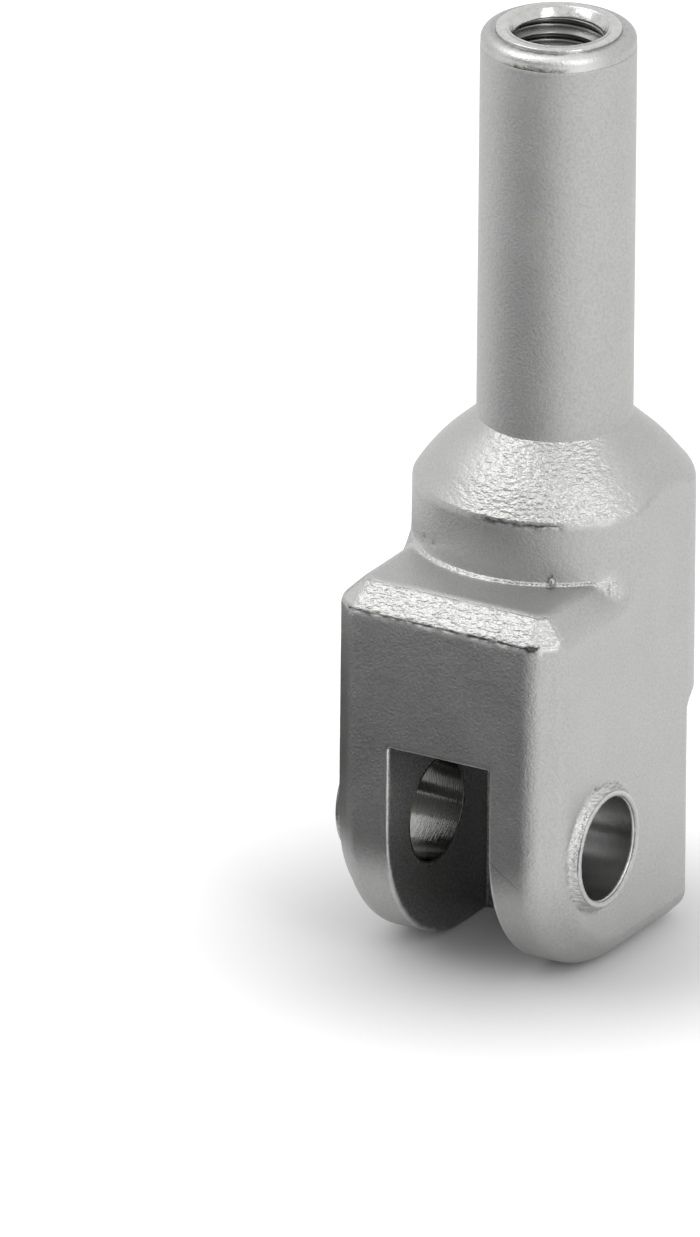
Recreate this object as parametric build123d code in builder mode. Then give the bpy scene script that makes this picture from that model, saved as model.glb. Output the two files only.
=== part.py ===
"""Clevis: an offset fork under a round threaded shank, cast in one piece and machined.

Millimetres. The shank's axis is Z, the pin's axis runs along X, the fork opens towards -Y,
and the fork stands on Z = 0.
"""

import os
from math import cos, degrees, radians, sin, sqrt, tan

from build123d import *

os.makedirs("parts", exist_ok=True)

# Sizes that can be set one by one
shank_diameter = 12.0
overall_height = 73.1
collar_diameter = 21.7
collar_height = 4.9  # from the ledge to the collar's upper edge
cone_angle = 44.0  # of the cone between collar and shank, from the axis
ledge_height = 31.4
body_width = 20.0  # across the flats
front_reach = 17.3  # from the shank's axis to the front face
back_reach = 5.6  # from the shank's axis to the back face
skirt_height = 19.4  # where the round collar ends at the back
skirt_fillet = 2.2
edge_chamfer = 2.0  # round the ends of the block and its ledge
toe_radius = 11.6  # front end of the ears
heel_radius = 2.6  # back end of the block
foot_blend = 5.0  # radius of the flare where the collar meets the block
foot_rise = 1.0  # how far above the ledge that flare begins

slot_width = 8.8
slot_height = 18.6
slot_depth = 15.3  # from the front face to the closed back of the slot

pin_diameter = 8.0
pin_clearance = 0.1  # on the diameter
pin_setback = 7.6  # from the front face to the pin's axis
pin_height = 10.9
pin_hole_chamfer = 0.3
boss_diameter = 10.0
boss_height = 0.75
boss_draft = 0.4  # how much the boss narrows towards its face, on the radius

thread_bore_diameter = 6.8  # tapping bore of an M8 thread
thread_length = 18.0  # full bore below the mouth
drill_tip_angle = 118.0
mouth_diameter = 7.6  # the countersink at the mouth
mouth_depth = 0.65
lip_diameter = 9.4  # the turned ring at the mouth
lip_height = 0.2
mouth_round = 1.0  # outer edge of the shank's end

# Sizes that follow from them
shank_radius = shank_diameter / 2
collar_radius = collar_diameter / 2
half_width = body_width / 2
collar_top = ledge_height + collar_height
cone_top = collar_top + (collar_radius - shank_radius) / tan(radians(cone_angle))
shoulder_top = overall_height - lip_height
lip_radius = lip_diameter / 2
bore_radius = thread_bore_diameter / 2
tip_length = bore_radius / tan(radians(drill_tip_angle / 2))
pin_hole_radius = (pin_diameter + pin_clearance) / 2
pin_y = pin_setback - front_reach
slot_back = slot_depth - front_reach
corner_reach = (half_width + back_reach - edge_chamfer) / sqrt(2)  # to the chamfers at the back
skirt_start = skirt_height - skirt_fillet
boss_radius = boss_diameter / 2
boss_face = half_width + boss_height
foot_turn = radians(52)  # how far the flare's arc turns
foot_start = ledge_height + foot_rise
foot_out = collar_radius + foot_blend * (1 - cos(foot_turn))
foot_arc_end = foot_start - foot_blend * sin(foot_turn)
foot_end = min(ledge_height - edge_chamfer, foot_arc_end) - 0.5
over = 1.0  # how far a cutting body stands past the surface that it cuts

with BuildPart() as clevis:
    # Turned outline: collar, cone, shank and the ring at the mouth
    with BuildSketch(Plane.XZ):
        with BuildLine():
            Polyline(
                (0, overall_height),
                (0, skirt_height),
                (collar_radius, skirt_height),
                (collar_radius, collar_top),
                (shank_radius, cone_top),
                (shank_radius, shoulder_top - mouth_round),
            )
            CenterArc((shank_radius - mouth_round, shoulder_top - mouth_round), mouth_round, 0, 90)
            Polyline(
                (shank_radius - mouth_round, shoulder_top),
                (lip_radius + lip_height / 2, shoulder_top),
                (lip_radius, overall_height),
                (0, overall_height),
            )
        make_face()
    revolve(axis=Axis.Z)

    # Flats on both sides of the collar
    with BuildSketch(Plane.XY.offset(skirt_height)):
        Rectangle(body_width, collar_diameter + 2 * over)
    extrude(amount=overall_height - skirt_height, mode=Mode.INTERSECT)

    # Flare where the collar meets the front of the block
    with BuildPart() as foot:
        with BuildSketch(Plane.XZ):
            with BuildLine():
                CenterArc(
                    (collar_radius + foot_blend, foot_start), foot_blend, 180, degrees(foot_turn)
                )
                Polyline(
                    (foot_out, foot_arc_end),
                    (foot_out, foot_end),
                    (0, foot_end),
                    (0, foot_start),
                    (collar_radius, foot_start),
                )
            make_face()
        revolve(axis=Axis.Z)
        with BuildSketch(Plane.XY.offset(foot_end)):
            with Locations((0, -collar_diameter)):
                Rectangle(body_width, 2 * collar_diameter)
        extrude(amount=foot_start - foot_end, mode=Mode.INTERSECT)

    # Block: its side outline, then the same chamfer along both ends and round the ledge
    with BuildPart() as block:
        with BuildSketch(Plane.YZ):
            with BuildLine():
                Polyline(
                    (back_reach, heel_radius),
                    (back_reach, ledge_height),
                    (-front_reach, ledge_height),
                    (-front_reach, toe_radius),
                )
                CenterArc((toe_radius - front_reach, toe_radius), toe_radius, 180, 90)
                Line((toe_radius - front_reach, 0), (back_reach - heel_radius, 0))
                CenterArc((back_reach - heel_radius, heel_radius), heel_radius, 270, 90)
            make_face()
        extrude(amount=half_width, both=True)
        ends = block.faces().filter_by(Axis.X)
        chamfer([e for e in ends.edges() if e.center().Z < ledge_height], edge_chamfer)
        chamfer(block.faces().sort_by(Axis.Z)[-1].edges(), edge_chamfer)

    # Fillet between the back of the block and the underside of the collar
    with BuildPart() as skirt:
        with BuildSketch(Plane.XY.offset(skirt_start)):
            Circle(collar_radius)
        extrude(amount=skirt_fillet + over)
        for turn, reach in ((0, back_reach), (-45, corner_reach), (45, corner_reach)):
            along = (sin(radians(turn)), cos(radians(turn)), 0)
            across = (cos(radians(turn)), -sin(radians(turn)), 0)
            with BuildSketch(Plane((0, 0, 0), x_dir=along, z_dir=across)):
                with BuildLine():
                    Polyline(
                        (reach, skirt_start),
                        (-collar_diameter, skirt_start),
                        (-collar_diameter, skirt_height + over),
                        (reach + skirt_fillet, skirt_height + over),
                        (reach + skirt_fillet, skirt_height),
                    )
                    CenterArc((reach + skirt_fillet, skirt_start), skirt_fillet, 90, 90)
                make_face()
            extrude(amount=collar_diameter if turn else half_width, both=True, mode=Mode.INTERSECT)

    # Bosses round the pin hole, on the outside of both ears
    for outward in (-1, 1):
        with Locations(Plane((outward * half_width, pin_y, pin_height), z_dir=(outward, 0, 0))):
            Cone(
                boss_radius,
                boss_radius - boss_draft,
                boss_height,
                align=(Align.CENTER, Align.CENTER, Align.MIN),
            )

    # Slot between the ears, open to the front and below, closed at the back
    with BuildSketch(Plane.XY.offset(-over)):
        with Locations((0, slot_back)):
            Rectangle(slot_width, slot_depth + over, align=(Align.CENTER, Align.MAX))
    extrude(amount=slot_height + over, mode=Mode.SUBTRACT)

    # Pin hole through both ears and bosses, with a chamfer at each outer end
    with BuildSketch(Plane((0, pin_y, pin_height), x_dir=(1, 0, 0), z_dir=(0, -1, 0))):
        with BuildLine():
            Polyline(
                (-boss_face - over, 0),
                (-boss_face - over, pin_hole_radius + pin_hole_chamfer + over),
                (pin_hole_chamfer - boss_face, pin_hole_radius),
                (boss_face - pin_hole_chamfer, pin_hole_radius),
                (boss_face + over, pin_hole_radius + pin_hole_chamfer + over),
                (boss_face + over, 0),
                close=True,
            )
        make_face()
    revolve(axis=Axis((0, pin_y, pin_height), (1, 0, 0)), mode=Mode.SUBTRACT)

    # Blind bore for the thread, with a drill tip below and a countersink at the mouth
    with BuildSketch(Plane.XZ):
        with BuildLine():
            Polyline(
                (0, overall_height + over),
                (mouth_diameter / 2, overall_height + over),
                (mouth_diameter / 2, overall_height),
                (bore_radius, overall_height - mouth_depth),
                (bore_radius, overall_height - thread_length),
                (0, overall_height - thread_length - tip_length),
                close=True,
            )
        make_face()
    revolve(axis=Axis.Z, mode=Mode.SUBTRACT)

clevis.part.label = "clevis"
export_step(clevis.part, "parts/clevis.step")
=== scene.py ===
from math import cos, pi, radians, sin

import bpy
import numpy as np
from mathutils import Matrix, Vector


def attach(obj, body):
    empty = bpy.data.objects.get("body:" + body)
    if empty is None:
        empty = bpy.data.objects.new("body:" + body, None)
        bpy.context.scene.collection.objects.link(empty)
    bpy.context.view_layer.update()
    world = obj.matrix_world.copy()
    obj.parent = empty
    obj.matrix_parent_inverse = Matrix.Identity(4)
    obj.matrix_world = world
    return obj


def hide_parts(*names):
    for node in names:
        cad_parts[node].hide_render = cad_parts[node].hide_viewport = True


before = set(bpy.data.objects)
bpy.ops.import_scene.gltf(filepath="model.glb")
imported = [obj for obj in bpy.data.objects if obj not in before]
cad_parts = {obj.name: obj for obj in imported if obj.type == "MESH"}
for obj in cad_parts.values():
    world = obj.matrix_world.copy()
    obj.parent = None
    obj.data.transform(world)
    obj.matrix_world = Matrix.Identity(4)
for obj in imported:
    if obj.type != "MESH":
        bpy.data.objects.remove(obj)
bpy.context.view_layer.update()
MM = 0.001
ROOT2 = 2**0.5

# Sizes in millimetres, as in the solids. The shank's axis is Z, the pin's axis runs along X,
# and the fork opens towards -Y and stands on Z = 0.
TOP = 73.1
SHANK_R = 6.0
COLLAR_R = 10.85
COLLAR_TOP = 36.3
CONE_TOP = 41.32
LEDGE = 31.4
HALF_W = 10.0
FRONT = 17.3  # from the shank's axis to the front face
BACK = 5.6  # from the shank's axis to the back face
CHAMFER = 2.0
TOE = 11.6  # radius of the ears' front end
HEEL = 2.6  # radius of the block's back end
SKIRT = 19.4  # where the collar ends at the back
SKIRT_R = 2.2  # fillet below that end
FLARE_R = 5.0  # flare where the collar meets the front of the block
FLARE_RISE = 1.0  # how far above the ledge it begins
FLARE_OUT = 12.77
FLARE_END = 27.9
SLOT_HALF = 4.4
SLOT_TOP = 18.6
SLOT_BACK = -2.0
PIN_Y = -9.7
PIN_Z = 10.9
PIN_R = 4.05
BOSS_R = 5.0
BOSS_H = 0.75
BOSS_DRAFT = 0.4
BORE_R = 3.4
BORE_END = 55.1  # end of the threaded bore's full width
MOUTH_DEPTH = 0.65
PITCH = 1.25

# Rounding of the casting's edges, in millimetres
ROUND_RIGHT = 0.65  # the block's upright edges on the right
ROUND_LEFT = 0.5
ROUND_BAND = 0.27  # chamfer at the front of the ledge
ROUND_SIDES = 0.5  # chamfers at the sides of the ledge
ROUND_CORNER = 0.2  # facets at the corners of the ledge
ROUND_LEDGE = 0.35
ROUND_COLLAR = 0.25
ROUND_NECK = 0.1
ROUND_SKIRT = 0.3
ROUND_FLAT = 0.5  # where the flats cut the block
FLAT_SHARPER = 0.2  # how much less that is on the collar
ROUND_BOSS = 0.12
ROUND_SLOT = 0.26
ROUND_PIN = 0.08
FILL = 0.3  # in the corners above the ledge and round the bosses

# How the casting departs from the solid
CONE_SWELL = 0.22  # the cone is slightly convex
SWELL_Z = 38.7
SWELL_SPREAD = 1.6
NECK_HIDDEN = 0.7  # the cone goes on inside the shank
BOSS_ROOT = 2.0  # and the boss inside the ear
BORE_GAP = 0.08  # room behind the pieces that line the pin hole

# One specimen's marks
NODULE = (5.45, -9.67, 31.72)
PITS = ((-6.25, -8.87, 32.64), (-5.04, -9.61, 32.67))
PATCH = (8.75, -6.7, 31.1)  # a coarse patch right of the collar's foot
BLOB_X = 7.9  # a dark blob at the right end of the front edge
BLOB_Z = 29.35

# Camera, fitted to the photo: angles in degrees, the picture in pixels
AZIMUTH = radians(29.8)
ELEVATION = radians(22.7)
ROLL = radians(0.604)
FRAME_PX = (700, 1237)
PX_PER_MM = 13.122
AIM = Vector((0, 0, 0.035))
AIM_PX = (554.04, 487.19)
CAMERA_DISTANCE = 1.0
CLIP = (0.05, 50)


def place_camera():
    """The camera stands where AIM falls on the pixel AIM_PX"""
    back = Vector((sin(AZIMUTH) * cos(ELEVATION), -cos(AZIMUTH) * cos(ELEVATION), sin(ELEVATION)))
    right = Vector((cos(AZIMUTH), sin(AZIMUTH), 0))
    up = back.cross(right)
    turn = Matrix.Rotation(ROLL, 3, back)
    right, up = turn @ right, turn @ up

    data = bpy.data.cameras.new("camera")
    data.type = "ORTHO"
    data.sensor_fit = "VERTICAL"
    data.ortho_scale = FRAME_PX[1] / PX_PER_MM * MM
    data.clip_start, data.clip_end = CLIP
    camera = bpy.data.objects.new("camera", data)
    bpy.context.scene.collection.objects.link(camera)
    middle = AIM + right * (FRAME_PX[0] / 2 - AIM_PX[0]) / PX_PER_MM * MM
    middle = middle - up * (FRAME_PX[1] / 2 - AIM_PX[1]) / PX_PER_MM * MM
    axes = Matrix((right, up, back)).transposed().to_4x4()
    camera.matrix_world = Matrix.Translation(middle + back * CAMERA_DISTANCE) @ axes
    bpy.context.scene.camera = camera


place_camera()


# Soft windows and lines, from 0 to 1
def step_in(t, start, stop):
    """0 before start, 1 after stop and smooth between"""
    s = np.clip((t - start) / (stop - start), 0, 1)
    return s * s * (3 - 2 * s)


def window(t, rise, fall):
    """Rises over one span and falls over the other"""
    return step_in(t, *rise) * (1 - step_in(t, *fall))


def line(t, middle, width):
    """1 at the middle and near 0 a few widths away"""
    return np.exp(-(((t - middle) / width) ** 2))


def near(p, spot, size):
    """1 at the spot and near 0 a few sizes away"""
    return np.exp(-((p - spot) ** 2).sum(1) / size**2)


# The casting's form: each field is a distance in millimetres, negative inside
def edge(a, b, r):
    """What lies in both fields, with its outer edge rounded"""
    return np.minimum(-r, np.maximum(a, b)) + np.hypot(np.maximum(r + a, 0), np.maximum(r + b, 0))


def blend(a, b, r):
    """What lies in either field, with the corner between them filled"""
    return np.maximum(r, np.minimum(a, b)) - np.hypot(np.maximum(r - a, 0), np.maximum(r - b, 0))


def bevel(a, b):
    """The chamfer between two faces"""
    return (a + b + CHAMFER) / ROOT2


def block_field(y, z, ends, soft):
    """The block, with the same chamfer round both ends and round the ledge"""
    side = np.maximum(np.maximum(-FRONT - y, y - BACK), -z)
    toe = np.hypot(y + FRONT - TOE, z - TOE) - TOE
    side = np.where((y < TOE - FRONT) & (z < TOE), toe, side)
    heel = np.hypot(y - BACK + HEEL, z - HEEL) - HEEL
    side = np.where((y > BACK - HEEL) & (z < HEEL), heel, side)
    top = z - LEDGE
    front = -FRONT - y
    block = edge(side, bevel(ends, side), soft)
    block = edge(block, bevel(front, top), ROUND_BAND)
    block = edge(block, bevel(ends, top), ROUND_SIDES)
    block = edge(block, bevel(bevel(ends, front), top), ROUND_CORNER)
    return edge(block, top, ROUND_LEDGE)


def collar_field(r, z):
    """The collar with its cone"""
    lean = np.hypot(COLLAR_R - SHANK_R, CONE_TOP - COLLAR_TOP)
    cone = (r - COLLAR_R) * (CONE_TOP - COLLAR_TOP) + (z - COLLAR_TOP) * (COLLAR_R - SHANK_R)
    cone = cone / lean - CONE_SWELL * line(z, SWELL_Z, SWELL_SPREAD)
    collar = edge(r - COLLAR_R, cone, ROUND_COLLAR)
    collar = edge(collar, z - CONE_TOP - NECK_HIDDEN, ROUND_NECK)
    return edge(collar, SKIRT - z, ROUND_SKIRT)


def flare_field(r, y, z):
    """The flare at the collar's foot, over the front half"""
    drop = np.minimum(z, LEDGE + FLARE_RISE) - LEDGE - FLARE_RISE
    flare = FLARE_R - np.hypot(r - COLLAR_R - FLARE_R, drop)
    flare = np.maximum(flare, z - LEDGE - FLARE_RISE)
    flare = np.maximum(flare, np.maximum(r - FLARE_OUT, FLARE_END - z))
    return np.maximum(flare, y)


def skirt_field(ax, r, y, z, soft):
    """The fillet under the back of the collar, along the back and both chamfered corners"""
    low = SKIRT - SKIRT_R
    rise = np.maximum(z - low, 0)
    straight = SKIRT_R - np.hypot(np.minimum(y - BACK - SKIRT_R, 0), rise)
    away = (ax + y - HALF_W - BACK + CHAMFER) / ROOT2
    diagonal = SKIRT_R - np.hypot(np.minimum(away - SKIRT_R, 0), rise)
    skirt = np.maximum(r - COLLAR_R, edge(straight, diagonal, soft))
    return np.maximum(skirt, np.maximum(low - z, z - SKIRT - 1))


def casting(p):
    """The whole cast body"""
    x, y, z = p[..., 0], p[..., 1], p[..., 2]
    ax = np.abs(x)
    r = np.hypot(x, y)
    ends = ax - HALF_W
    soft = np.where(x > 0, ROUND_RIGHT, ROUND_LEFT)

    # the flats cut all of it at once, so that they stay plane
    upper = np.minimum(collar_field(r, z), flare_field(r, y, z))
    body = blend(block_field(y, z, ends, soft), upper, FILL)
    body = np.minimum(body, skirt_field(ax, r, y, z, soft))
    body = edge(body, ends, ROUND_FLAT - FLAT_SHARPER * np.clip(z - LEDGE, 0, 1))

    # bosses, slot and pin hole
    rho = np.hypot(y - PIN_Y, z - PIN_Z)
    boss_side = rho - BOSS_R + BOSS_DRAFT * (ax - HALF_W) / BOSS_H
    boss = edge(boss_side, ax - HALF_W - BOSS_H, ROUND_BOSS)
    body = blend(body, np.maximum(boss, HALF_W - BOSS_ROOT - ax), FILL)
    slot = np.maximum(np.maximum(ax - SLOT_HALF, y - SLOT_BACK), z - SLOT_TOP)
    body = edge(body, -slot, ROUND_SLOT)
    return edge(body, PIN_R + BORE_GAP - rho, ROUND_PIN)


def beside(p, step):
    """The form's values a step to either side of each point, along each axis"""
    for move in step * np.eye(3):
        yield casting(p + move), casting(p - move)


def slope(p, step=0.02):
    return np.stack([(after - before) / (2 * step) for after, before in beside(p, step)], 1)


def facing(p):
    """The form's outward unit normals"""
    n = slope(p)
    return n / np.linalg.norm(n, axis=1)[:, None]


def bend(p, step=0.16):
    """How convex the form is at each point, in 1/mm"""
    total = -6 * casting(p)
    for after, before in beside(p, step):
        total += after + before
    return total / step**2


# The form's mesh
CUBE = [(i, j, k) for i in (0, 1) for j in (0, 1) for k in (0, 1)]
SLAB = 16  # grid planes that are worked out at a time


def sample(axes):
    """casting() on a grid"""
    field = np.empty([len(a) for a in axes], np.float32)
    for i in range(0, len(axes[0]), SLAB):
        grid = np.meshgrid(axes[0][i : i + SLAB], axes[1], axes[2], indexing="ij")
        field[i : i + SLAB] = casting(np.stack(grid, -1))
    return field


def crossings(field, cells):
    """Mean place in each cell, in cells, where its edges cross the zero of the field"""
    where = np.zeros((len(cells), 3))
    count = np.zeros(len(cells))
    for a in CUBE:
        for b in CUBE:
            if sum(b) - sum(a) != 1 or any(m < n for m, n in zip(b, a)):
                continue
            fa = field[tuple((cells + a).T)]
            fb = field[tuple((cells + b).T)]
            cross = (fa < 0) != (fb < 0)
            t = np.where(cross, fa / np.where(cross, fa - fb, 1), 0)
            where += cross[:, None] * (np.array(a) + t[:, None] * (np.array(b) - np.array(a)))
            count += cross
    return where / count[:, None]


def facets(inside, index, k):
    """A quad round each grid edge along axis k that crosses the surface"""
    u, v = (k + 1) % 3, (k + 2) % 3
    first, second = [slice(None)] * 3, [slice(None)] * 3
    first[k], second[k] = slice(0, -1), slice(1, None)
    before, after = inside[tuple(first)], inside[tuple(second)]
    at = np.argwhere(before != after)
    at = at[(at[:, u] > 0) & (at[:, v] > 0)]
    at = at[(at[:, u] < inside.shape[u] - 1) & (at[:, v] < inside.shape[v] - 1)]
    ring = []
    for du, dv in ((0, 0), (-1, 0), (-1, -1), (0, -1)):
        cell = at.copy()
        cell[:, u] += du
        cell[:, v] += dv
        ring.append(index[tuple(cell.T)])
    ring = np.stack(ring, 1)
    flip = ~before[tuple(at.T)]
    ring[flip] = ring[flip][:, ::-1]
    return ring


def surface(low, high, pitch):
    """Points and quads on the zero of casting(), one point to each cell that it crosses"""
    field = sample([np.arange(a, b + pitch, pitch, dtype=np.float32) for a, b in zip(low, high)])
    inside = field < 0
    total = np.zeros([n - 1 for n in field.shape], np.int8)
    for i, j, k in CUBE:
        total += inside[i : i + total.shape[0], j : j + total.shape[1], k : k + total.shape[2]]
    mixed = (total > 0) & (total < len(CUBE))
    cells = np.argwhere(mixed)
    index = np.full(mixed.shape, -1, np.int32)
    index[mixed] = np.arange(len(cells))
    points = np.array(low) + pitch * (cells + crossings(field, cells))
    return points, np.concatenate([facets(inside, index, k) for k in range(3)])


# The skin's relief
HASH = (73856093, 19349663, 83492791)
SEED_HASH = 2654435761
HASH_MIX = 1274126177
NOISE_GAIN = 1.6


def noise(p, seed):
    """Smooth gradient noise, about -1 to 1, one bump to a unit"""
    cell = np.floor(p).astype(np.int64)
    f = p - cell
    w = f * f * f * (f * (f * 6 - 15) + 10)
    out = 0
    for corner in CUBE:
        c = cell + corner
        h = (c[:, 0] * HASH[0]) ^ (c[:, 1] * HASH[1]) ^ (c[:, 2] * HASH[2]) ^ (seed * SEED_HASH)
        h = (h ^ (h >> 13)) * HASH_MIX & 0xFFFFFFFF
        turn = (h & 0xFFFF) / 65536 * 2 * pi
        height = (h >> 16) / 65536 * 2 - 1
        width = np.sqrt(1 - height * height)
        away = f - corner
        dot = away[:, 0] * width * np.cos(turn) + away[:, 1] * width * np.sin(turn)
        dot = dot + away[:, 2] * height
        weight = np.ones(len(p))
        for axis, far in enumerate(corner):
            weight = weight * (w[:, axis] if far else 1 - w[:, axis])
        out = out + weight * dot
    return out * NOISE_GAIN


LOW_EDGE = LEDGE - CHAMFER  # height of the front chamfer's lower edge
WRINKLE_CELL = (0.6, 0.8, 0.25)  # flat and wide, in millimetres
BITE_CELL = (0.55, 0.55, 0.35)
FINE_DEPTH = 0.018
BROAD_DEPTH = 0.02
WRINKLE_DEPTH = 0.1
RAGGED_DEPTH = 0.17
PIT_DEPTH = 0.07


def azimuth(p):
    """Degrees round the shank's axis, 0 at the front and positive to the right"""
    return np.degrees(np.arctan2(p[:, 0], -p[:, 1]))


def pin_radius(p):
    """Distance from the pin's axis"""
    return np.hypot(p[:, 1] - PIN_Y, p[:, 2] - PIN_Z)


def coarse_skin(p, n):
    """Wrinkled skin: front chamfer, front of the cone, walls of the bosses, collar's foot, patch"""
    x, y, z = p.T
    ax, around, rho = np.abs(x), azimuth(p), pin_radius(p)
    slant = window(n[:, 2], rise=(0.4, 0.6), fall=(0.82, 0.93))
    band = window(z, rise=(LOW_EDGE - 0.2, LOW_EDGE + 0.1), fall=(LEDGE + 0.1, LEDGE + 0.4))
    band = slant * band * step_in(-n[:, 1], 0.3, 0.5)
    corner = step_in(bevel(ax - HALF_W, -y - FRONT), -1.6, -0.9)
    band = band * (1 - 0.25 * corner)
    towards_camera = 1 - step_in(np.abs(around - 25), 25, 58)
    cone = slant * step_in(z, COLLAR_TOP - 0.3, COLLAR_TOP + 0.2) * (0.08 + 0.92 * towards_camera)
    wall = (rho > BOSS_R - 0.45) * (1 - step_in(rho, BOSS_R + 0.1, BOSS_R + 0.4))
    wall = 1.3 * wall * step_in(ax, HALF_W - 0.1, HALF_W + 0.1)
    # at the collar's foot the lighter wrinkled colour is also a painted highlight, for the thin bright
    # line there
    foot = line(np.hypot(x, y), COLLAR_R + 0.2, 0.3) * line(z, LEDGE + 0.1, 0.35)
    foot = foot * (around > -75) * (1 - step_in(around, -5, 12))
    return np.clip(band + cone + wall + 0.8 * foot + 1.2 * near(p, PATCH, 0.8), 0, 1)


def ragged_skin(p):
    """Lines bitten into the skin and painted dark as shade: under the front chamfer and the cone, round
    the bosses and the nodule, pits
    """
    x, y, z = p.T
    ax, around, rho = np.abs(x), azimuth(p), pin_radius(p)

    front = (y < 0.8 - FRONT) * (ax < HALF_W - 1.6)
    middle = LOW_EDGE - 0.02 + 0.09 * noise(p / 0.9, seed=11) + 0.08 * noise(p / 0.4, seed=19)
    width = 0.15 + 0.08 * noise(p / 1.3, seed=12) + 0.05 * step_in(x, 4, 8)
    ragged = (0.75 + 0.25 * step_in(x, 0, 7)) * line(z, middle, width) * front
    ragged = ragged + 1.6 * line(x, BLOB_X, 0.4) * line(z, BLOB_Z, 0.24) * front

    middle = COLLAR_TOP - 0.1 + 0.08 * noise(p / 0.9, seed=13) + 0.1 * noise(p / 0.4, seed=18)
    width = 0.2 + 0.08 * noise(p / 1.1, seed=14) + 0.05 * step_in(around, 5, 25)
    shown = window(around, rise=(-9, 2), fall=(31, 36)) * (np.hypot(x, y) > COLLAR_R - 0.35)
    ragged = ragged + line(z, middle, width) * shown

    for spot in PITS:
        ragged = ragged + 0.8 * near(p, spot, 0.12)
    from_nodule = np.sqrt(((p - NODULE) ** 2 * (1, 1, 0.5)).sum(1))
    ragged = ragged + line(from_nodule, 0.4, 0.07) * (around < 30)
    broken = np.clip(1.5 * noise(p / 1.1, seed=15) + 0.35, 0, 1)
    ragged = ragged + 0.8 * line(rho, BOSS_R + 0.1, 0.08) * (ax > HALF_W - 0.2) * broken
    speckle = 0.7 * near(p, PATCH, 0.65) * step_in(noise(p / 0.35, seed=16), 0.1, 0.4)
    return np.clip(ragged + speckle, 0, 1)


def worn_edges(p):
    """Painted highlights on edges whose rounding catches the light, which the material also makes less
    rough, as rubbed: the slot's, the right of the cone's and the corner facet's lower ones
    """
    x, y, z = p.T
    slot = (np.abs(x) < SLOT_HALF + 0.6) * (y < PIN_Y) * (z < SLOT_TOP + 0.6)
    cone = window(azimuth(p), rise=(20, 34), fall=(52, 60)) * (np.abs(z - COLLAR_TOP + 0.1) < 0.5)
    corner = (x > HALF_W - 2.4) * (x < HALF_W - 0.5) * (y < 2.5 - FRONT) * (np.abs(z - LOW_EDGE) < 0.5)
    # the edges that get the painted highlight
    rubbed = slot + 0.55 * cone + 0.8 * corner
    worn = step_in(bend(p), 0.5, 1.8) * (0.6 + 0.4 * noise(p / 0.8, seed=17)) * rubbed
    return np.clip(worn, 0, 1)


def painted_slot_shade(p):
    """Painted shade on the walls of the slot, which lie in shade"""
    x, y, z = p.T
    between = 1 - step_in(np.abs(x), SLOT_HALF + 0.02, SLOT_HALF + 0.12)
    return between * (y < SLOT_BACK + 0.2) * (z < SLOT_TOP + 0.2)


def relief(p, n):
    """Depth of the cast skin below the true form, in millimetres"""
    x, y, z = p.T

    # the wrinkles run across the block and round the collar and cone
    round_collar = np.arctan2(x, -y) * np.maximum(np.hypot(x, y), 4)
    along = np.where(z > LEDGE + 1.6, round_collar, x)
    level = np.stack([along, y, z], 1) / WRINKLE_CELL
    warp = noise(p / 0.8, seed=3)[:, None] * (0.9, 0.5, 0.9)
    wrinkle = 0.7 * (1 - np.abs(noise(level + warp, seed=5)))
    wrinkle = wrinkle + 0.3 * (0.5 + 0.5 * noise(p / 0.4, seed=6))

    fine = 0.5 + 0.5 * noise(p / 0.45, seed=7)
    broad = 0.5 + 0.5 * noise(p / 2.6, seed=8)
    bite = np.clip(noise(p / BITE_CELL, seed=9) + 0.3, 0, 1)
    depth = FINE_DEPTH * fine + BROAD_DEPTH * broad
    depth = depth + WRINKLE_DEPTH * coarse_skin(p, n) * wrinkle + RAGGED_DEPTH * ragged_skin(p) * bite
    for spot in PITS:
        depth = depth + PIT_DEPTH * near(p, spot, 0.16)
    return depth


# Meshes
def solid(name, points, faces, smooth=True):
    """A mesh object, linked to the scene, from points in metres"""
    mesh = bpy.data.meshes.new(name)
    mesh.from_pydata([tuple(v) for v in points], [], [tuple(f) for f in faces])
    mesh.validate()
    mesh.update()
    item = bpy.data.objects.new(name, mesh)
    bpy.context.scene.collection.objects.link(item)
    if smooth:
        smoothen(item)
    return item


def smoothen(item):
    item.data.polygons.foreach_set("use_smooth", [True] * len(item.data.polygons))


def thin_out(item, ratio):
    """Leaves that share of the triangles"""
    item.modifiers.new("thin", "DECIMATE").ratio = ratio
    bpy.context.view_layer.update()
    thinned = item.evaluated_get(bpy.context.evaluated_depsgraph_get())
    made = bpy.data.meshes.new_from_object(thinned)
    item.modifiers.clear()
    old, item.data = item.data, made
    made.name = item.name
    bpy.data.meshes.remove(old)


def points_of(item):
    """The mesh's points in millimetres"""
    flat = np.empty(len(item.data.vertices) * 3)
    item.data.vertices.foreach_get("co", flat)
    return flat.reshape(-1, 3) / MM


def mark(item, **layers):
    """Stores at each point how coarse the skin is, its dark lines of painted shade, its painted shade in
    the slot and its painted highlight with wear, for the material
    """
    for name, values in layers.items():
        layer = item.data.attributes.new(name, "FLOAT", "POINT")
        layer.data.foreach_set("value", np.asarray(values, np.float32))


def circle(radii, z):
    """A point for each radius, once round the shank's axis, in metres"""
    turns = [2 * pi * k / len(radii) for k in range(len(radii))]
    return [(r * cos(a) * MM, r * sin(a) * MM, z * MM) for r, a in zip(radii, turns)]


def strips(rows, around):
    """Quads between neighbouring circles, and between the last and the first"""
    faces = []
    for i in range(rows):
        j = (i + 1) % rows
        for k in range(around):
            m = (k + 1) % around
            faces.append((i * around + k, i * around + m, j * around + m, j * around + k))
    return faces


def revolved(name, profile, around=256):
    """A closed solid of revolution from a closed outline of radius and height pairs"""
    points = [point for radius, z in profile for point in circle([radius] * around, z)]
    return solid(name, points, strips(len(profile), around))


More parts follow.
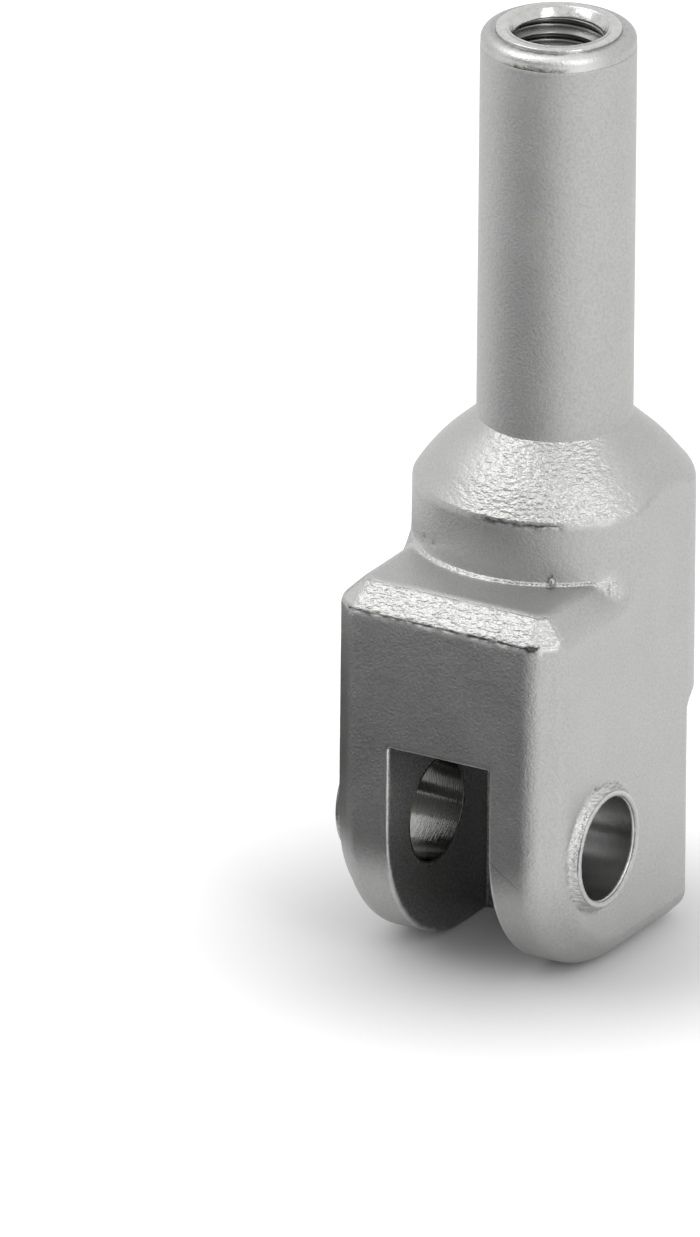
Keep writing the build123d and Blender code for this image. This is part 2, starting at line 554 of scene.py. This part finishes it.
# The pieces
GRID = 0.165
ROOM = ((-11.3, -17.9, -0.6), (11.3, 11.5, 42.8))  # lowest and highest corner round the casting
NEWTON_STEPS = 3
LEAST_SLOPE = 0.25  # squared, where the form's gradient fades
MOST_TRIANGLES = 190000


def build_casting():
    """The casting: points moved onto the form, then inwards by the relief, then thinned out"""
    points, quads = surface(*ROOM, GRID)
    for _ in range(NEWTON_STEPS):
        grad = slope(points)
        steep = np.maximum((grad**2).sum(1), LEAST_SLOPE)
        points -= casting(points)[:, None] * grad / steep[:, None]
    normals = facing(points)
    points -= normals * relief(points, normals)[:, None]
    item = solid("fork_casting", points * MM, quads)
    triangles = 2 * len(quads)
    if triangles > MOST_TRIANGLES:
        thin_out(item, MOST_TRIANGLES / triangles)
        smoothen(item)
    p = points_of(item)
    coarse = coarse_skin(p, facing(p))
    mark(item, coarse=coarse, ragged=ragged_skin(p), inner=painted_slot_shade(p), worn=worn_edges(p))
    return item


def build_shank():
    """The shank, from inside the cone to the shoulder, with the bore behind and below the thread"""
    row = 0.5
    outside = [(5.2, 40.2), (5.95, 40.25), (SHANK_R, 40.3)]
    outside += [(SHANK_R, z) for z in np.arange(41.0, 71.0, row)]
    outside += [(SHANK_R, 71.4), (SHANK_R, 71.62), (5.97, 71.66), (5.6, 71.7)]
    behind_thread = [(4.1, 71.7), (4.1, 60.5), (4.05, 60.2), (BORE_R + 0.05, 59.9)]
    bore = [(BORE_R, 59.8), (BORE_R, BORE_END + 0.1), (BORE_R - 0.05, BORE_END)]
    drill_tip = [(1.5, 54.0), (0.2, 53.1)]
    return revolved("shank", [*outside, *behind_thread, *bore, *drill_tip, (0.2, 44.0), (5.0, 44.0)])


def build_shoulder():
    """The rounded shoulder, with a painted highlight over the front, where it is also less rough, a dark
    line of painted shade below and a groove above, darkened as painted shade
    """
    low = [(5.6, 71.5), (5.92, 71.6), (5.965, 71.67), (5.985, 71.78), (5.985, 71.95), (5.98, 72.05)]
    middle, reach = (5.26, 72.08), (0.73, 0.77)
    quarter = [pi / 2 * k / 12 for k in range(1, 12)]
    arc = [(middle[0] + reach[0] * cos(a), middle[1] + reach[1] * sin(a)) for a in quarter]
    top = [(5.2, 72.85), (5.05, 72.84), (4.9, 72.82), (4.8, 72.81), (4.8, 71.5)]
    item = revolved("shoulder", low + arc + top)

    p = points_of(item)
    around = azimuth(p)
    # painted highlight over the front of the shoulder
    painted_highlight_arc = window(around, rise=(-35, 0), fall=(46, 74))
    # painted shade: a dark line below the shoulder and one in the groove, stronger under the painted
    # highlight
    low_line = line(p[:, 2], 71.82, 0.2) * window(around, rise=(-20, -2), fall=(25, 45))
    groove = line(np.hypot(p[:, 0], p[:, 1]), 5.12, 0.22) * (0.35 + 0.65 * painted_highlight_arc)
    mottle = np.clip(0.85 + 0.7 * noise(p / 0.4, seed=21), 0, 1)
    ragged = np.clip((1.05 * low_line + 0.75 * groove) * mottle, 0, 0.93)
    none = np.zeros(len(p))
    mark(item, coarse=none, ragged=ragged, inner=none, worn=0.8 * painted_highlight_arc)
    return item


def build_mouth_ring():
    """The turned ring at the mouth, with a fine groove in its face and the countersink"""
    outer = [(4.8, -0.4), (4.838, -0.12), (4.81, -0.05), (4.73, -0.01), (4.62, 0)]
    face = [(4.02, 0), (3.99, -0.05), (3.94, -0.07), (3.9, -0.05), (3.87, -0.02), (3.83, -0.06)]
    sink = [(3.45, -0.6), (3.41, -0.67), (3.42, -0.75), (3.7, -0.9), (4.05, -1.6), (4.7, -1.6)]
    return revolved("mouth_ring", [(radius, TOP + z) for radius, z in outer + face + sink])


def build_nodule():
    """A small nodule of metal at the collar's foot"""
    half_width, half_height, core = 0.27, 0.42, 0.01
    turns = [pi * k / 16 for k in range(1, 16)]
    skin = [(half_width * sin(a), NODULE[2] - half_height * cos(a)) for a in turns]
    profile = [(core, skin[0][1] - core), *skin, (core, skin[-1][1] + core)]
    item = revolved("nodule", profile, 32)
    item.data.transform(Matrix.Translation((NODULE[0] * MM, NODULE[1] * MM, 0)))
    return item


THREAD_START = 60.0
THREAD_INNER = 3.36
THREAD_DEPTH = 0.58
THREAD_BACK = 4.2
FLANK = 1.25  # how steeply the ridges rise
CREST = 0.12  # how flat their crests are


def build_thread():
    """The thread's ridges, on a sleeve that lies in the shank"""
    around, rows_to_a_turn = 128, 14
    heights = np.arange(THREAD_START, TOP - MOUTH_DEPTH - 0.1, PITCH / rows_to_a_turn)
    points = []
    for z in heights:
        turns = [(z / PITCH - k / around) % 1 for k in range(around)]
        ridges = [min(1, max(0, FLANK * abs(2 * turn - 1) - CREST)) for turn in turns]
        points += circle([THREAD_INNER + THREAD_DEPTH * ridge for ridge in ridges], z)
    for z in (heights[-1], heights[0]):
        points += circle([THREAD_BACK] * around, z)
    faces = [(a, d, c, b) for a, b, c, d in strips(len(heights) + 2, around)]
    return solid("thread", points, faces)


RIM_FACE = HALF_W + BOSS_H - 0.005
RIM_ROOT = 10.2
BORE_INNER_END = 4.43
BORE_OUTER_END = 10.42


def build_pin_ring(name, profile, way):
    """A ring round the pin's axis; its outline's radii are measured from the pin hole's wall"""
    item = revolved(name, [(PIN_R + radius, x) for radius, x in profile], 192)
    turn = Matrix.Rotation(way * pi / 2, 4, "Y")
    item.data.transform(Matrix.Translation((0, PIN_Y * MM, PIN_Z * MM)) @ turn)
    return item


def build_rim(side, way):
    """The machined face of a boss, with the chamfer of the pin hole"""
    chamfer = [(0.1, RIM_ROOT), (0.005, 10.4), (0.02, 10.45), (0.05, 10.49)]
    chamfer += [(0.24, RIM_FACE - 0.05), (0.28, RIM_FACE - 0.015)]
    face = [(0.33, RIM_FACE), (0.38, RIM_FACE), (0.45, RIM_FACE), (0.5, RIM_FACE - 0.01)]
    outer = [(0.53, RIM_FACE - 0.04), (0.55, 10.6), (0.45, RIM_ROOT)]
    return build_pin_ring("pin_rim_" + side, chamfer + face + outer, way)


def build_bore(side, way):
    """The reamed wall of the pin hole in one ear"""
    inner = [(0.04, BORE_INNER_END), (0.015, 4.44), (0, 4.47), (0, 4.5), (0, 4.6)]
    outer = [(0, 10.2), (0, 10.3), (0, 10.38), (0.02, BORE_OUTER_END)]
    back = [(0.25, BORE_OUTER_END), (0.25, BORE_INNER_END)]
    return build_pin_ring("pin_bore_" + side, inner + outer + back, way)


# Materials
class Tree:
    """Short calls that add nodes to a material or world; an input is a value or another output"""

    def __init__(self, owner):
        owner.use_nodes = True
        self.nodes = owner.node_tree.nodes
        self.links = owner.node_tree.links
        self.nodes.clear()

    def feed(self, socket, value):
        """Links another output to a socket, or sets the number, vector or colour"""
        if isinstance(value, bpy.types.NodeSocket):
            self.links.new(value, socket)
        elif socket.type == "RGBA":
            socket.default_value = (*value, 1)
        else:
            socket.default_value = value

    def add(self, kind, *inputs, **named):
        """A new node, with inputs by their order or by name, underscores standing for spaces"""
        node = self.nodes.new("ShaderNode" + kind)
        for socket, value in zip(node.inputs, inputs):
            self.feed(socket, value)
        for key, value in named.items():
            self.feed(node.inputs[key.replace("_", " ")], value)
        return node

    def place(self):
        return self.add("TexCoord").outputs["Object"]

    def math(self, operation, *inputs):
        node = self.add("Math", *inputs)
        node.operation = operation
        return node.outputs[0]

    def times(self, a, b):
        return self.math("MULTIPLY", a, b)

    def vector(self, operation, *inputs, output="Value"):
        node = self.add("VectorMath", *inputs)
        node.operation = operation
        return node.outputs[output]

    def mix(self, factor, a, b):
        node = self.nodes.new("ShaderNodeMix")
        node.data_type = "RGBA"
        for index, value in ((0, factor), (6, a), (7, b)):
            self.feed(node.inputs[index], value)
        return node.outputs[2]

    def ramp(self, value, low, high, to=(0.0, 1.0), kind="LINEAR"):
        """Goes from one end of its range to the other as the value goes from low to high"""
        node = self.add("MapRange", value, low, high, *to)
        node.interpolation_type = kind
        return node.outputs[0]

    def texture(self, scale, detail, stretch=None):
        source = self.place()
        if stretch:
            source = self.add("Mapping", Vector=source, Scale=stretch).outputs[0]
        return self.add("TexNoise", Vector=source, Scale=scale, Detail=detail, Roughness=0.6).outputs[0]

    def attribute(self, name):
        node = self.nodes.new("ShaderNodeAttribute")
        node.attribute_name = name
        return node.outputs["Fac"]

    def end(self, shader, kind="Material"):
        """Links the last shader to the tree's own output"""
        self.add("Output" + kind, shader.outputs[0])


def new_material(name):
    """A material and its tree, empty so far"""
    material = bpy.data.materials.new(name)
    return material, Tree(material)


def grey(level):
    return (level, level, level)


def warm(level):
    """A grey with a trace less blue"""
    return (level, level, level - 0.005)


def hairline(t):
    """A hairline across the front of the right ear, where three pairs of planes meet"""
    spans = (((0.605, 0, 0.796), 11.63, 11.69), ((0.796, 0, -0.605), -3.3, -0.2), ((0, 1, 0), -18, -15.5))
    inside = 1.0
    for normal, low, high in spans:
        along = t.vector("DOT_PRODUCT", t.place(), normal)
        past = t.math("GREATER_THAN", along, low * MM)
        short = t.math("LESS_THAN", along, high * MM)
        inside = t.times(inside, t.times(past, short))
    return inside


GRAIN_BUMP = 0.00007
GRAIN_TINT = 0.55  # colour in the grain's hollows, as a share of the metal's
GRAIN_SHARE = 0.35
CLOUD_SCALE = 220
CLOUD_TINT = 0.93
CLOUD_ROUGH = 0.1  # how much the clouds change the roughness
RAGGED_SCALE = 1900
WRINKLE_SCALE = 2600
WRINKLE_BUMP = 4.6  # next to the grain's
WRINKLED = (0.68, 0.68, 0.67)
# colour of the painted highlights on edges and on the shoulder's front
PAINTED_HIGHLIGHT = (0.8, 0.8, 0.79)
NEAR_BLACK = grey(0.06)


def steel(name, level, rough, grain, grain_size, marked=False, stretch=None):
    """Metal with grain and clouds in colour, roughness and bump; a marked one reads mark()'s layers too"""
    material, t = new_material(name)
    base = warm(level)
    fine = t.texture(1000 / grain_size, 3, stretch)
    cloud = t.texture(CLOUD_SCALE, 3)
    clouded = tuple(c * CLOUD_TINT for c in base)
    hollow = tuple(c * GRAIN_TINT for c in base)
    colour = t.mix(t.ramp(cloud, 0.3, 0.7), clouded, base)
    colour = t.mix(t.times(t.ramp(fine, 0.4, 0.7), GRAIN_SHARE), colour, hollow)
    roughness = t.math("ADD", t.times(cloud, CLOUD_ROUGH), rough - CLOUD_ROUGH / 2)
    height = fine
    if marked:
        coarse, ragged, worn = t.attribute("coarse"), t.attribute("ragged"), t.attribute("worn")
        # painted shade for the slot's walls, near black to grey with the grain
        shaded = t.mix(t.ramp(fine, 0.4, 0.62), NEAR_BLACK, grey(0.36))
        bite = t.math("MAXIMUM", t.ramp(t.texture(RAGGED_SCALE, 2), 0.38, 0.6), t.ramp(ragged, 0.75, 0.95))
        # the inner layer gives the slot's walls their painted shade
        colour = t.mix(t.times(t.attribute("inner"), 0.6), colour, shaded)
        colour = t.mix(t.times(coarse, 0.4), colour, WRINKLED)
        # painted highlight on edges and on the shoulder's front
        colour = t.mix(t.times(worn, 0.7), colour, PAINTED_HIGHLIGHT)
        # painted shade in the dark lines, grooves and pits
        colour = t.mix(t.times(ragged, t.times(bite, 0.92)), colour, NEAR_BLACK)
        colour = t.mix(t.times(hairline(t), 0.6), colour, grey(0.12))
        # the same layer also makes those places less rough, as wear
        roughness = t.math("SUBTRACT", roughness, t.times(t.math("MAXIMUM", coarse, worn), 0.14))
        wrinkles = t.texture(WRINKLE_SCALE, 2, stretch=(0.6, 0.6, 1.5))
        height = t.math("ADD", fine, t.times(wrinkles, t.times(coarse, WRINKLE_BUMP)))
    bump = t.add("Bump", Strength=grain, Distance=GRAIN_BUMP, Height=height)
    shader = t.add("BsdfPrincipled", Base_Color=colour, Metallic=1.0, Roughness=roughness)
    t.feed(shader.inputs["Normal"], bump.outputs[0])
    t.end(shader)
    return material


def dress(item, material):
    """Gives a piece its material, and says that it stands for part of the clevis"""
    item.data.materials.clear()
    item.data.materials.append(material)
    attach(item, "root")
    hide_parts("clevis")


cast = steel("cast_steel", 0.52, rough=0.46, grain=0.65, grain_size=0.2, marked=True)
satin = steel("satin_steel", 0.545, rough=0.56, grain=0.55, grain_size=0.22)
blasted = steel("blasted_steel", 0.53, rough=0.29, grain=0.6, grain_size=0.3)
rubbed = steel("worn_steel", 0.58, rough=0.36, grain=1.0, grain_size=0.45)
bright = steel("turned_steel", 0.62, rough=0.2, grain=0.5, grain_size=0.45)
cut = steel("cut_steel", 0.28, rough=0.28, grain=0.15, grain_size=0.2)
REAMING = (3.0, 0.3, 0.3)
# a darker copy of the reamed steel, as painted shade for the left ear's bore
painted_shade_reamed = steel("painted_shade_reamed_steel", 0.19, rough=0.12, grain=0.3, grain_size=0.3, stretch=REAMING)
reamed = steel("reamed_steel", 0.47, rough=0.3, grain=0.15, grain_size=0.3, stretch=REAMING)

dress(build_casting(), cast)
dress(build_shank(), satin)
dress(build_shoulder(), cast)
dress(build_mouth_ring(), bright)
dress(build_nodule(), blasted)
dress(build_thread(), cut)
for side, way, wall in (("right", 1, reamed), ("left", -1, painted_shade_reamed)):
    dress(build_rim(side, way), rubbed)
    dress(build_bore(side, way), wall)


# Floor and background, which look white to the camera and in reflections
def any_ray(t, *kinds):
    """1 for a ray of one of these kinds"""
    path = t.add("LightPath")
    found = path.outputs["Is " + kinds[0] + " Ray"]
    for kind in kinds[1:]:
        found = t.math("MAXIMUM", found, path.outputs["Is " + kind + " Ray"])
    return found


FLOOR_HALF = 3  # metres
SHADE_MIDDLE = (0, -0.006, 0)  # under the fork, the middle of the painted shadow where the glow fades out


def lay_floor():
    """A pale floor that glows where it is seen, and less so near the fork, as a painted shadow round its
    foot
    """
    material, t = new_material("floor")
    away = t.vector("DISTANCE", t.place(), SHADE_MIDDLE)
    # painted shadow: the glow fades out towards the fork
    fade = t.ramp(away, 0.004, 0.036, to=(0.0, 0.5), kind="SMOOTHSTEP")
    strength = t.times(any_ray(t, "Camera", "Glossy"), fade)
    diffuse = t.add("BsdfDiffuse", Color=grey(0.8))
    glow = t.add("Emission", Strength=strength)
    t.end(t.add("AddShader", diffuse.outputs[0], glow.outputs[0]))
    corners = [(-1, -1), (1, -1), (1, 1), (-1, 1)]
    points = [(x * FLOOR_HALF, y * FLOOR_HALF, 0) for x, y in corners]
    floor = solid("floor", points, [(0, 1, 2, 3)], smooth=False)
    floor.data.materials.append(material)


def light_world():
    """White where it is seen, and dimmer as a light"""
    world = bpy.data.worlds.new("studio")
    bpy.context.scene.world = world
    t = Tree(world)
    dim = t.add("Background", Color=grey(1), Strength=0.62)
    white = t.add("Background", Color=grey(1), Strength=1.0)
    seen = any_ray(t, "Camera", "Glossy", "Transmission")
    t.end(t.add("MixShader", seen, dim.outputs[0], white.outputs[0]), kind="World")


LIT = Vector((0, -0.005, 0.03))  # the point that the lamps face


def add_lamp(name, direction, across, distance, size, power):
    """A rectangular lamp in that direction from LIT, facing it, with its width across"""
    data = bpy.data.lights.new(name, "AREA")
    data.shape = "RECTANGLE"
    data.size, data.size_y = size
    data.energy = power
    item = bpy.data.objects.new(name, data)
    bpy.context.scene.collection.objects.link(item)
    way = Vector(direction).normalized()
    across = Vector(across)
    across = (across - way * across.dot(way)).normalized()
    axes = Matrix((across, way.cross(across), way)).transposed().to_4x4()
    item.matrix_world = Matrix.Translation(LIT + way * distance) @ axes


# Cards round the object, which give the bright metal something darker to reflect
def stage_card(name, points, faces, material, smooth=False):
    """A card that only glossy rays see"""
    item = solid(name, points, faces, smooth)
    item.data.materials.append(material)
    item.visible_camera = False
    item.visible_diffuse = False
    item.visible_shadow = False


def matt(name, level):
    material, t = new_material(name)
    t.end(t.add("BsdfDiffuse", Color=grey(level)))
    return material


def flat_card(name, points, level):
    stage_card(name, points, [tuple(range(len(points)))], matt(name, level))


CARD_LIFT = 0.0004
FRONT_CARD_R = 1.5
FRONT_CARD_MIDDLE = (-0.15, -0.95, -0.22)  # direction of its darkest part


def front_card():
    """A curved card in front of the object, dark in the middle with a soft edge"""
    rows, columns = 13, 25
    points, faces = [], []
    for i in range(rows):
        for k in range(columns):
            rise, turn = radians(0.1 + 62 * i / (rows - 1)), radians(-90 + 170 * k / (columns - 1))
            out = FRONT_CARD_R * cos(rise)
            points.append((out * sin(turn), -out * cos(turn), FRONT_CARD_R * sin(rise)))
            if i and k:
                here, below = i * columns + k, (i - 1) * columns + k
                faces.append((here, here - 1, below - 1, below))
    material, t = new_material("card_front")
    way = t.vector("NORMALIZE", t.place(), output="Vector")
    likeness = t.vector("DOT_PRODUCT", way, Vector(FRONT_CARD_MIDDLE).normalized())
    t.end(t.add("Emission", Strength=t.ramp(likeness, 0.4, 0.85, to=(1.0, 0.27), kind="SMOOTHSTEP")))
    stage_card("card_front", points, faces, material, smooth=True)


lay_floor()
light_world()
add_lamp("key", (-0.47, -0.24, 0.85), across=(1, 0, 0), distance=0.8, size=(0.5, 0.75), power=1.5)
add_lamp("side", (0.7, -0.36, 0.6), across=(0.48, 0.87, 0), distance=0.9, size=(0.3, 0.75), power=1.3)

# Outlines of the two cards on the floor in front, in metres
dark_outline = [
    (-0.012, -0.024), (-0.04, -0.02), (-0.1, -0.03), (-0.11, -0.07), (-0.075, -0.13),
    (0.0, -0.14), (0.038, -0.1), (0.007, -0.03), (0.002, -0.024),
]
pale_outline = [(-0.075, -0.13), (-0.13, -0.3), (0.16, -0.3), (0.1, -0.16), (0.05, -0.1), (0.0, -0.14)]
flat_card("card", [(x, y, CARD_LIFT) for x, y in dark_outline], level=0.06)
flat_card("card_far", [(x, y, CARD_LIFT) for x, y in pale_outline], level=0.66)
standing = [(-0.024, 0.001), (0.014, 0.001), (0.014, 0.024), (-0.024, 0.024)]
flat_card("card_standing", [(-0.026, y, z) for y, z in standing], level=0.14)
front_card()

bpy.context.scene.view_settings.view_transform = "Standard"

bpy.context.view_layer.update()
